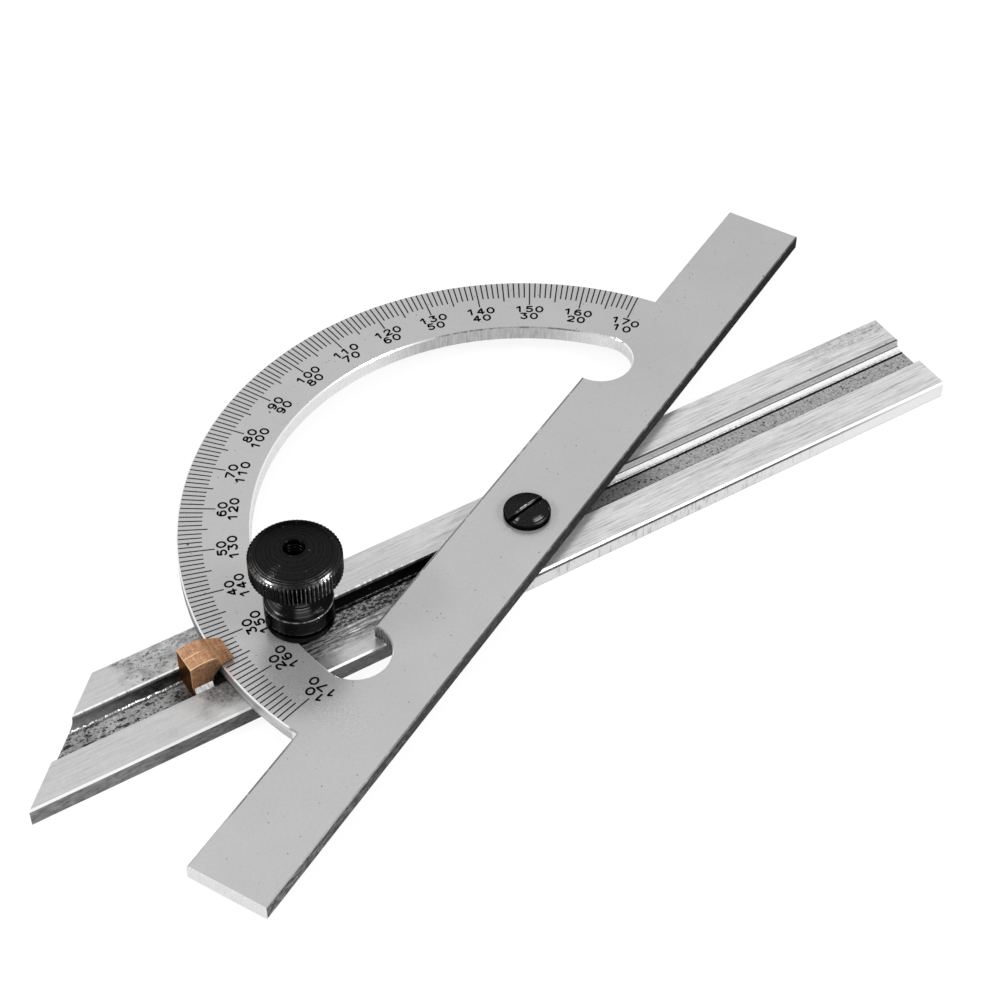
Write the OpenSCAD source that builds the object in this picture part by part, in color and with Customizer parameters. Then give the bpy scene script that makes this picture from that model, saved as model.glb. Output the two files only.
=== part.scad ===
// Angle finder: a graduated half-circle plate that swings on a grooved arm.
// Frame: the origin is on the pivot's axis at the arm's underside, +X runs along
// the arm towards its pointer, and +Z is up. All sizes are in millimetres.

/* [Graduated plate] */
// Outer radius of the graduated arc
arc_r = 40; // [36:0.5:60]
// Inner radius of the graduated arc, at the window
arc_inner_r = 31.6; // [30:0.1:34]
// Thickness of the plate
plate_t = 2; // [1.2:0.1:3]
// Length of the straight bar
bar_len = 119.6; // [90:0.1:180]
// How far the bar's middle lies from the pivot, away from the arc's low marks
bar_shift = 0.5; // [0:0.1:3]
// From the pivot to the bar's outer, working edge
bar_edge = 5; // [4:0.1:6]
// From the pivot to the bar's inner edge outside the arc
bar_end_inner = 4.7; // [4:0.1:5.2]
// From the pivot to the bar's inner edge at the window
bar_mid_inner = 5.8; // [4.5:0.1:7]
// Radius of the round pocket at each end of the window
pocket_r = 4; // [3.2:0.1:4.8]
// From the pivot to the pocket's centre, measured across the bar
pocket_up = 5.6; // [5:0.1:6.5]
// Width of the broken edges of the plate
plate_edge = 0.15; // [0.05:0.01:0.3]
// Angle that the pointer reads as the object stands
reading = 27; // [10:1:170]

/* [Grooved arm] */
// Width of the arm
arm_w = 13.6; // [11:0.1:18]
// Thickness of the arm
arm_t = 2.5; // [2:0.1:4]
// From the pivot to the sharp corner of the slanted end
arm_fore = 65.2; // [56:0.1:90]
// From the pivot to the square end
arm_aft = 56.2; // [30:0.1:90]
// Angle between the slanted end and the arm's long edge
slant_angle = 45; // [30:1:80]
// Width of the groove
groove_w = 4.3; // [3.8:0.1:5]
// Depth of the groove
groove_d = 1.15; // [0.9:0.05:1.3]
// Radius of the groove's two lower corners
groove_fillet = 0.8; // [0.3:0.05:0.85]
// Bevel of the arm's long edges
arm_bevel = 0.22; // [0.05:0.01:0.4]

/* [Pivot] */
// Radius of the screw's head
pivot_head_r = 2.74; // [2.4:0.02:3.6]
// Height at which the head's dome would meet its side
pivot_head_rim = 0.7; // [0.3:0.05:1.2]
// Rise of the head's dome above its side
pivot_head_dome = 0.42; // [0.2:0.02:0.8]
// Radius of the round edge between the head's side and its dome
pivot_head_round = 0.3; // [0.1:0.02:0.3]
// Width of the screwdriver slot
pivot_slot_w = 0.66; // [0.4:0.02:0.9]
// Depth of the screwdriver slot, from the top of the dome
pivot_slot_d = 0.72; // [0.4:0.02:0.9]
// Angle of the slot from the arm's length
pivot_slot_turn = 11.4; // [-90:0.1:90]
// Radius of the screw's shank
pivot_shank_r = 1.5; // [1.2:0.05:1.6]
// Radius of the bush that the plate turns on
bush_r = 2; // [1.8:0.05:2.1]
// Length of the key in the groove under the pivot
key_len = 9; // [6:0.5:12]

/* [Clamp] */
// From the arc's inner edge to the middle of the clamp's stud
stud_inset = 2.07; // [1.8:0.01:2.4]
// Radius of the stud's plain foot
stud_foot_r = 1.25; // [1.15:0.05:1.35]
// Radius of the stud's thread, taken at its root
stud_thread_r = 1.05; // [0.8:0.05:1.1]
// Radius of the clamp jaw, a thick washer over the arc's edge
jaw_r = 3.85; // [3.3:0.05:4.2]
// Thickness of the clamp jaw
jaw_t = 1.3; // [0.8:0.05:2]

/* [Clamp nut] */
// Radius of the nut's plain drum
drum_r = 3.9; // [3.4:0.05:4.4]
// Height of the drum
drum_h = 2.15; // [1.2:0.05:4]
// Radius at the waist of the neck
neck_waist_r = 2.5; // [2:0.05:3.2]
// Height of the neck
neck_h = 4.3; // [3:0.05:6]
// Radius over the knurl
knurl_r = 5.16; // [4.6:0.02:7]
// Height of the knurled rim
knurl_h = 2.4; // [1.2:0.05:4]
// Depth of the knurl's grooves
knurl_depth = 0.2; // [0.08:0.01:0.3]
// Number of knurl grooves
knurl_count = 68; // [24:1:90]
// Height of the bevel above the knurl
shoulder_h = 0.3; // [0.2:0.02:1.2]
// Width of the bevel above the knurl
shoulder_w = 0.36; // [0.2:0.02:1]
// Rise of the nut's domed top above the bevel
crown_h = 1; // [0.4:0.05:1.8]
// Depth of the stud's end below the top of the nut
stud_sink = 2.3; // [1:0.1:4]

/* [Pointer] */
// Width of the pointer
pointer_w = 3.3; // [2.4:0.1:3.7]
// Length of the pointer, from its reading tip to its outer end
pointer_len = 5.2; // [4.4:0.1:9]
// How far the beak reaches over the scale
beak_reach = 1.5; // [0.8:0.05:3.5]
// Gap between the beak and the scale
beak_gap = 0.36; // [0.15:0.01:0.6]
// Thickness of the beak at its tip
tip_t = 0.13; // [0.05:0.01:0.3]
// Height of the pointer's crown above the plate
pointer_rise = 1.84; // [1.2:0.02:3]
// Radius of the pointer's crown, seen from the side
pointer_crown_r = 6.5; // [5:0.1:12]
// Height of the solder bead above the arm
bead_h = 0.45; // [0.1:0.05:0.7]

/* [Hidden] */

$fn = 96;

// Clearances: between faces that slide, round a turning fit, beside a fixed fit
// and round a thread
slide_gap = 0.05;
turn_gap = 0.05;
seat_gap = 0.04;
thread_gap = 0.02;
// How far every cut runs past the face that it opens
overrun = 1;

// Heights of the main faces above the arm's underside
groove_z = arm_t - groove_d;
plate_z = arm_t + slide_gap;
plate_top = plate_z + plate_t;
jaw_z = plate_top + slide_gap;
nut_z = jaw_z + jaw_t + slide_gap;

// The clamp's stud stands inside the arc, so that the jaw reaches over its edge
stud_at = arc_inner_r - stud_inset;

// The window's pockets lie inside the arc's inner circle and just break into it
pocket_bite = 0.06;
pocket_out = sqrt(pow(arc_inner_r - pocket_r + pocket_bite, 2) - pow(pocket_up, 2));

// The key stands a little below the arm's face, and the bush stands on the key
key_w = groove_w - 2 * seat_gap;
key_sink = 0.1;
key_top = arm_t - key_sink;
bush_top = plate_top + slide_gap;
pivot_bore_r = bush_r + turn_gap;
shank_hole_r = pivot_shank_r + thread_gap;

jaw_bevel = 0.15;
stud_hole_r = stud_foot_r + turn_gap;

// Heights along the nut, and the circles of its neck and crown
neck_z = nut_z + drum_h;
knurl_z = neck_z + neck_h;
shoulder_z = knurl_z + knurl_h;
crown_z = shoulder_z + shoulder_h;
nut_top = crown_z + crown_h;
neck_end_r = drum_r;
neck_depth = neck_end_r - neck_waist_r;
cove_r = (pow(neck_h / 2, 2) + pow(neck_depth, 2)) / (2 * neck_depth);
crown_r = knurl_r - shoulder_w;
crown_ball_r = (pow(crown_r, 2) + pow(crown_h, 2)) / (2 * crown_h);
nut_bore_r = stud_thread_r + turn_gap;
drum_bevel = 0.12;
bore_bevel = 0.18;
// The knurl's ridges are cut off flat by this much
knurl_land = 0.03;

// The stud's foot ends inside the drum, and its thread below the nut's top
stud_step_z = nut_z + drum_h / 2;
stud_top = nut_top - stud_sink;
stud_bevel = 0.2;

// The solder fills the groove beside the pointer's foot, above its round corners
bead_w = (groove_w - pointer_w) / 2;
bead_z = groove_z + groove_fillet;
bead_end_gap = 0.2;

// The pointer's faces, from the tip along the underside to the foot: the crown
// is highest a third of the way along it, and the chin slopes clear of the plate
pointer_tip = arc_r - beak_reach;
pointer_end = pointer_tip + pointer_len;
tip_z = plate_top + beak_gap;
beak_root = arc_r - slide_gap;
chin_run = 1.15;
chin_drop = 1.05;
foot_inner = arc_r + chin_run;
foot_bevel = 0.15;
foot_round = groove_fillet - bead_w;
crown_share = 0.28;
crown_peak = foot_inner + crown_share * (pointer_end - foot_inner);

// Carries a cross-section along X, from one place to another
module along_x(from, to) {
    translate([from, 0, 0])
        rotate([90, 0, 90])
            linear_extrude(height = to - from)
                children();
}

// Cross-section of a flat strip with its four long edges broken
module strip_section(from, to, thick, edge) {
    polygon([
        [from + edge, 0], [to - edge, 0], [to, edge], [to, thick - edge],
        [to - edge, thick], [from + edge, thick], [from, thick - edge], [from, edge]
    ]);
}

// The plate in its own frame, before it is cut: the bar lies along X, the arc is on +Y
module plate_blank() {
    bar_from = bar_shift - bar_len / 2;
    bar_to = bar_shift + bar_len / 2;
    intersection() {
        along_x(bar_from, bar_to)
            strip_section(-bar_edge, bar_end_inner, plate_t, plate_edge);
        translate([0, arc_r, 0])
            rotate([90, 0, 0])
                linear_extrude(height = 2 * arc_r)
                    strip_section(bar_from, bar_to, plate_t, plate_edge);
    }
    intersection() {
        rotate_extrude()
            intersection() {
                strip_section(-arc_r, arc_r, plate_t, plate_edge);
                square([arc_r, plate_t]);
            }
        translate([-arc_r, 0, 0])
            cube([2 * arc_r, arc_r, plate_t]);
    }
}

// Half profile of a cut through the plate, flared so that it breaks both edges
module flared_section(reach) {
    flare = plate_edge + overrun;
    polygon([
        [0, -overrun], [reach + flare, -overrun], [reach, plate_edge],
        [reach, plate_t - plate_edge], [reach + flare, plate_t + overrun], [0, plate_t + overrun]
    ]);
}

module window_cut() {
    intersection() {
        rotate_extrude()
            flared_section(arc_inner_r);
        translate([0, arc_r, 0])
            mirror([0, 1, 0])
                along_x(-arc_r, arc_r)
                    flared_section(arc_r - bar_mid_inner);
    }
    for (side = [-1, 1])
        translate([side * pocket_out, pocket_up])
            rotate_extrude()
                flared_section(pocket_r);
}

module protractor_plate() {
    color("silver")
        translate([0, 0, plate_z])
            rotate([0, 0, reading - 180])
                difference() {
                    plate_blank();
                    window_cut();
                    translate([0, 0, -overrun])
                        cylinder(r = pivot_bore_r, h = plate_t + 2 * overrun);
                }
}

// Cross-section of a groove, or of what fits in it: its mouth is at height zero
module groove_section(width, depth, fillet, above) {
    intersection() {
        translate([-width / 2, -depth])
            square([width, depth + above]);
        union() {
            translate([-width / 2, fillet - depth])
                square([width, depth + above]);
            translate([fillet - width / 2, -depth])
                square([width - 2 * fillet, depth + above]);
            for (side = [-1, 1])
                translate([side * (width / 2 - fillet), fillet - depth])
                    circle(r = fillet);
        }
    }
}

module arm_section() {
    difference() {
        strip_section(-arm_w / 2, arm_w / 2, arm_t, arm_bevel);
        translate([0, arm_t])
            groove_section(groove_w, groove_d, groove_fillet, overrun);
    }
}

module arm_plan() {
    half = arm_w / 2;
    slant_run = arm_w / tan(slant_angle);
    polygon([
        [-arm_aft, -half], [arm_fore - slant_run, -half],
        [arm_fore, half], [-arm_aft, half]
    ]);
}

module grooved_arm() {
    color("lightgray")
        difference() {
            intersection() {
                along_x(-arm_aft, arm_fore)
                    arm_section();
                translate([0, 0, -overrun])
                    linear_extrude(height = arm_t + 2 * overrun)
                        arm_plan();
            }
            translate([0, 0, -overrun])
                cylinder(r = shank_hole_r, h = arm_t + 2 * overrun);
            translate([stud_at, 0, -overrun])
                cylinder(r = stud_foot_r + thread_gap, h = arm_t + 2 * overrun);
        }
}

module pivot_key() {
    color("gray")
        difference() {
            along_x(-key_len / 2, key_len / 2)
                translate([0, key_top])
                    groove_section(key_w, key_top - groove_z, groove_fillet, 0);
            cylinder(r = shank_hole_r, h = arm_t + overrun);
        }
}

module pivot_bush() {
    color("gray")
        translate([0, 0, key_top])
            difference() {
                cylinder(r = bush_r, h = bush_top - key_top);
                translate([0, 0, -overrun])
                    cylinder(r = shank_hole_r, h = bush_top - key_top + 2 * overrun);
            }
}

// Half profile of the screw's head: the round edge touches both its side and its dome
module screw_head_profile(head_top) {
    dome_ball_r = (pow(pivot_head_r, 2) + pow(pivot_head_dome, 2)) / (2 * pivot_head_dome);
    ball_z = head_top - dome_ball_r;
    round_at = pivot_head_r - pivot_head_round;
    round_z = ball_z + sqrt(pow(dome_ball_r - pivot_head_round, 2) - pow(round_at, 2));
    dome_end = round_at * dome_ball_r / (dome_ball_r - pivot_head_round);
    translate([0, bush_top])
        square([pivot_head_r, round_z - bush_top]);
    translate([round_at, round_z])
        circle(r = pivot_head_round);
    intersection() {
        translate([0, bush_top])
            square([dome_end, head_top - bush_top]);
        translate([0, ball_z])
            circle(r = dome_ball_r);
    }
}

module pivot_screw() {
    head_top = bush_top + pivot_head_rim + pivot_head_dome;
    color("#1c1c1c")
        difference() {
            union() {
                cylinder(r = pivot_shank_r, h = bush_top + pivot_head_rim);
                rotate_extrude()
                    screw_head_profile(head_top);
            }
            rotate([0, 0, pivot_slot_turn])
                translate([-pivot_head_r - overrun, -pivot_slot_w / 2, head_top - pivot_slot_d])
                    cube([2 * (pivot_head_r + overrun), pivot_slot_w, pivot_slot_d + overrun]);
        }
}

module clamp_stud() {
    color("#262626")
        translate([stud_at, 0, 0])
            rotate_extrude()
                polygon([
                    [0, 0], [stud_foot_r, 0], [stud_foot_r, stud_step_z],
                    [stud_thread_r, stud_step_z + stud_foot_r - stud_thread_r],
                    [stud_thread_r, stud_top - stud_bevel],
                    [stud_thread_r - stud_bevel, stud_top], [0, stud_top]
                ]);
}

module clamp_jaw() {
    color("#202020")
        translate([stud_at, 0, jaw_z])
            rotate_extrude()
                polygon([
                    [stud_hole_r, 0], [jaw_r - jaw_bevel, 0], [jaw_r, jaw_bevel],
                    [jaw_r, jaw_t - jaw_bevel], [jaw_r - jaw_bevel, jaw_t], [stud_hole_r, jaw_t]
                ]);
}

// Half profile of the nut before its knurl is cut
module nut_profile() {
    difference() {
        union() {
            polygon([
                [0, nut_z], [drum_r - drum_bevel, nut_z], [drum_r, nut_z + drum_bevel],
                [drum_r, neck_z - drum_bevel], [drum_r - drum_bevel, neck_z], [0, neck_z]
            ]);
            difference() {
                translate([0, neck_z])
                    square([neck_end_r - drum_bevel, neck_h]);
                translate([neck_waist_r + cove_r, neck_z + neck_h / 2])
                    circle(r = cove_r);
            }
            intersection() {
                polygon([
                    [0, knurl_z], [knurl_r - drum_bevel, knurl_z], [knurl_r, knurl_z + drum_bevel],
                    [knurl_r, shoulder_z], [crown_r, crown_z], [crown_r, nut_top], [0, nut_top]
                ]);
                translate([0, nut_top - crown_ball_r])
                    circle(r = crown_ball_r);
            }
        }
        translate([0, nut_z - overrun])
            square([nut_bore_r, nut_top - nut_z + 2 * overrun]);
        translate([0, nut_z - overrun])
            square([stud_hole_r, stud_step_z + slide_gap + stud_foot_r - nut_z + overrun]);
        polygon([
            [0, nut_top - bore_bevel - nut_bore_r], [nut_bore_r + bore_bevel, nut_top],
            [nut_bore_r + bore_bevel, nut_top + overrun], [0, nut_top + overrun]
        ]);
    }
}

// Star-shaped outline of a straight knurl: one sharp ridge and one groove at
// each step
module knurl_outline(outer, depth, count) {
    step = 360 / count;
    polygon([
        for (i = [0 : count - 1], half = [0, 1])
            let (a = (i + half / 2) * step, r = outer - half * depth)
                [r * cos(a), r * sin(a)]
    ]);
}

module clamp_nut() {
    color("#161616")
        translate([stud_at, 0, 0])
            intersection() {
                rotate_extrude()
                    nut_profile();
                translate([0, 0, nut_z - overrun])
                    linear_extrude(height = nut_top - nut_z + 2 * overrun)
                        knurl_outline(knurl_r + knurl_land, knurl_depth + knurl_land, knurl_count);
            }
}

// Side view of the pointer: crown, beak over the scale, and foot in the groove
module pointer_side() {
    crown_top = plate_top + pointer_rise;
    intersection() {
        polygon([
            [pointer_tip, tip_z], [pointer_tip, tip_z + tip_t],
            [foot_inner - foot_bevel, crown_top], [pointer_end, crown_top],
            [pointer_end, groove_z + foot_bevel], [pointer_end - foot_bevel, groove_z],
            [foot_inner, groove_z], [foot_inner, plate_top - chin_drop],
            [beak_root, tip_z]
        ]);
        translate([crown_peak, crown_top - pointer_crown_r])
            circle(r = pointer_crown_r);
    }
}

module pointer() {
    color("#b8865a")
        intersection() {
            translate([0, pointer_w / 2, 0])
                rotate([90, 0, 0])
                    linear_extrude(height = pointer_w)
                        pointer_side();
            along_x(pointer_tip - overrun, pointer_end + overrun)
                translate([0, arm_t])
                    groove_section(pointer_w, groove_d, foot_round, plate_top);
        }
}

module pointer_solder() {
    inner = pointer_w / 2;
    outer = inner + bead_w;
    color("whitesmoke")
        for (side = [-1, 1])
            along_x(foot_inner + bead_end_gap, pointer_end - bead_end_gap)
                polygon([
                    [side * inner, bead_z], [side * outer, bead_z],
                    [side * outer, arm_t - arm_bevel / 2], [side * inner, arm_t + bead_h]
                ]);
}

protractor_plate();
grooved_arm();
pivot_key();
pivot_bush();
pivot_screw();
clamp_stud();
clamp_jaw();
clamp_nut();
pointer();
pointer_solder();
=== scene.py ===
"""Looks of an angle finder: a graduated plate that swings on a grooved arm."""
import math

import bpy
import numpy as np
from mathutils import Euler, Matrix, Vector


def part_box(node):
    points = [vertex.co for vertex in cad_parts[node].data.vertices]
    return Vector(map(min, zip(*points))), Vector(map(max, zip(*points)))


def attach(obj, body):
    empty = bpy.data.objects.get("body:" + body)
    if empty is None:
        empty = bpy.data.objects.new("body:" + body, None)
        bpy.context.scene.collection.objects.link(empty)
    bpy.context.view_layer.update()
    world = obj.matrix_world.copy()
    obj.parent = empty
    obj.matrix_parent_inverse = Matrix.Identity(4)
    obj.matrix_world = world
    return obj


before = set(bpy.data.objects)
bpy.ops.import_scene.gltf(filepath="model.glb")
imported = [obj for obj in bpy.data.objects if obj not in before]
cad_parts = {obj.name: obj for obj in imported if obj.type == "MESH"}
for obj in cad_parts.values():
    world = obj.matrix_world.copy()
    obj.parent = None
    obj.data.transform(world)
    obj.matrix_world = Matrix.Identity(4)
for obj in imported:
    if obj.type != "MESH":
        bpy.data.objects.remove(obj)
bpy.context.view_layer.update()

MM = 0.001

# Sizes of the CAD model that the looks refer to, in millimetres, and its turns, in degrees
READING = 27
BAR_TURN = READING - 180
PLATE_LOW, PLATE_TOP = (corner.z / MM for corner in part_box("protractor_plate"))
ARM_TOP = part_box("grooved_arm")[1].z / MM
POINTER_TIP, POINTER_END = (corner.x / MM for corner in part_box("pointer"))
CROWN_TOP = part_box("pointer")[1].z / MM
NUT_LOW, NUT_TOP = (corner.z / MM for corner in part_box("clamp_nut"))
ARC_R = 40.0
WINDOW_R = 31.6
POCKET_EDGE = 6.4
BAR_EDGE = 5.0
BAR_BACK = 4.55
WINDOW_EDGE = 5.65
BAR_NEAR = 59.3
ARM_HALF = 6.8
GROOVE_HALF = 2.15
GROOVE_FLOOR = 1.35
BURR_AT = -1.22
STUD_AT = 29.53
DRUM_R = 3.9
NUT_R = 5.16
NECK_LOW = NUT_LOW + 2.15
KNURL_LOW = NECK_LOW + 4.3
SHOULDER = KNURL_LOW + 2.4
HEAD_R = 2.74
SLOT_HALF = 0.33
SLOT_TURN = 11.4
POINTER_HALF = 1.65
POINTER_MIDDLE = POINTER_TIP + 3.3
CROWN_R = 6.5
CROWN_AT = POINTER_TIP + 3.36


# Shader maths

class Value:
    """A number or vector inside a tree of nodes; sums and products of values add Math nodes."""

    def __init__(self, tree, socket):
        self.tree = tree
        self.socket = socket

    def math(self, operation, *others):
        """A Math node of that operation on this value and the others."""
        return self.tree.node("Math", {"operation": operation}, dict(enumerate((self,) + others)))

    def __add__(self, other):
        return self.math("ADD", other)

    def __radd__(self, other):
        return self.math("ADD", other)

    def __sub__(self, other):
        return self.math("SUBTRACT", other)

    def __rsub__(self, other):
        return self.tree.node("Math", {"operation": "SUBTRACT"}, {0: other, 1: self})

    def __mul__(self, other):
        return self.math("MULTIPLY", other)

    def __rmul__(self, other):
        return self.math("MULTIPLY", other)

    def __abs__(self):
        return self.math("ABSOLUTE")

    def sin(self):
        return self.math("SINE")

    def most(self, other):
        """The larger of the two values."""
        return self.math("MAXIMUM", other)

    def swing(self, amount):
        """How far this value is from a half, times an amount."""
        return (self - 0.5) * amount

    def over(self, start, end):
        """0 up to start, 1 from end on, and smooth between them; start may be the larger one."""
        settings = {"interpolation_type": "SMOOTHSTEP"}
        if start <= end:
            return self.tree.node("MapRange", settings, {0: self, 1: start, 2: end})
        return self.tree.node("MapRange", settings, {0: self, 1: end, 2: start, 3: 1.0, 4: 0.0})

    def between(self, start, end, soft):
        """1 from start to end, and 0 outside them, with edges that are soft wide."""
        return self.over(start - soft, start + soft) * self.over(end + soft, end - soft)

    def toward(self, other, share):
        """This value where share is 0, the other where it is 1."""
        return self * (1 - share) + other * share


class Tree:
    """A tree of shader nodes. node() adds any node and gives back one of its outputs."""

    def __init__(self, nodes):
        self.tree = nodes

    def node(self, kind, settings, inputs, output=0):
        """Adds a node of that kind: its settings first, then the values or links of its sockets."""
        node = self.tree.nodes.new("ShaderNode" + kind)
        for name, value in settings.items():
            setattr(node, name, value)
        for key, value in inputs.items():
            if isinstance(value, Value):
                self.tree.links.new(value.socket, node.inputs[key])
            else:
                node.inputs[key].default_value = value
        return Value(self, node.outputs[output]) if node.outputs else None

    def seen(self):
        """1 for rays that come from the camera, from gloss or from glass, and 0 for the rest."""
        camera = self.node("LightPath", {}, {}, "Is Camera Ray")
        rays = camera.socket.node.outputs
        gloss = Value(self, rays["Is Glossy Ray"])
        return camera.most(gloss).most(Value(self, rays["Is Transmission Ray"]))


class Finish(Tree):
    """The material of one finish."""

    def __init__(self, name, **constants):
        self.material = bpy.data.materials.new(name)
        self.material.use_nodes = True
        super().__init__(self.material.node_tree)
        self.surface = self.tree.nodes["Principled BSDF"]
        for socket, value in constants.items():
            self.surface.inputs[socket.replace("_", " ")].default_value = value
        place = self.node("TexCoord", {}, {}, "Object")
        self.mm = self.node("VectorMath", {"operation": "SCALE"}, {0: place, "Scale": 1 / MM})
        self.x, self.y, self.z = self.split(self.mm)
        self.nx, self.ny, self.nz = self.split(self.node("TexCoord", {}, {}, "Normal"))

    def split(self, vector):
        """The three parts of a vector or a colour."""
        parts = self.node("SeparateXYZ", {}, {0: vector})
        return [Value(self, output) for output in parts.socket.node.outputs]

    def join(self, x, y, z):
        """A vector of three parts."""
        return self.node("CombineXYZ", {}, {0: x, 1: y, 2: z})

    def turned(self, degrees):
        """The place on the piece in axes turned about Z by that angle, in millimetres."""
        settings = {"rotation_type": "Z_AXIS"}
        turned = self.node("VectorRotate", settings, {"Vector": self.mm, "Angle": math.radians(-degrees)})
        return self.split(turned)

    def length(self, x, y):
        """How far a place is from the origin in plan."""
        return self.node("VectorMath", {"operation": "LENGTH"}, {0: self.join(x, y, 0.0)}, "Value")

    def angle(self, x, y):
        """The angle of a direction, in radians."""
        return self.node("Math", {"operation": "ARCTAN2"}, {0: y, 1: x})

    def noise(self, place, per_mm, detail=2.0, rough=0.5):
        """Cloudy noise from 0 to 1 with that many swells to the millimetre."""
        sockets = {"Vector": place, "Scale": per_mm, "Detail": detail, "Roughness": rough}
        return self.node("TexNoise", {}, sockets)

    def stretched(self, x, y, z):
        """The place on the piece with each axis multiplied, for streaks and grain."""
        return self.node("VectorMath", {"operation": "MULTIPLY"}, {0: self.mm, 1: (x, y, z)})

    def specks(self, place, per_mm, radius, share):
        """Round specks: 1 inside them. One speck in each cell, in that share of the cells."""
        cells = {"Vector": place, "Scale": per_mm}
        distance = self.node("TexVoronoi", {}, cells)
        chance = self.split(self.node("TexVoronoi", {}, cells, "Color"))[0]
        return distance.over(radius, radius * 0.5) * chance.over(1 - share, 1 - share + 0.01)

    def blend(self, share, first, second):
        """A colour from first to second, by share."""
        return self.node("Mix", {"data_type": "RGBA"}, {0: share, 6: first, 7: second}, 2)

    def grey(self, value):
        """A colour whose red, green and blue are all that value."""
        return self.node("CombineColor", {}, {0: value, 1: value, 2: value})

    def feed(self, **values):
        """Leads each value to the surface's socket of that name."""
        for name, value in values.items():
            self.tree.links.new(value.socket, self.surface.inputs[name.replace("_", " ")])

    def bump(self, height, depth_mm):
        """Raises the surface by height times a depth in millimetres."""
        sockets = {"Height": height, "Strength": 1.0, "Distance": depth_mm * MM}
        self.feed(Normal=self.node("Bump", {}, sockets))


# Finishes

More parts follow.
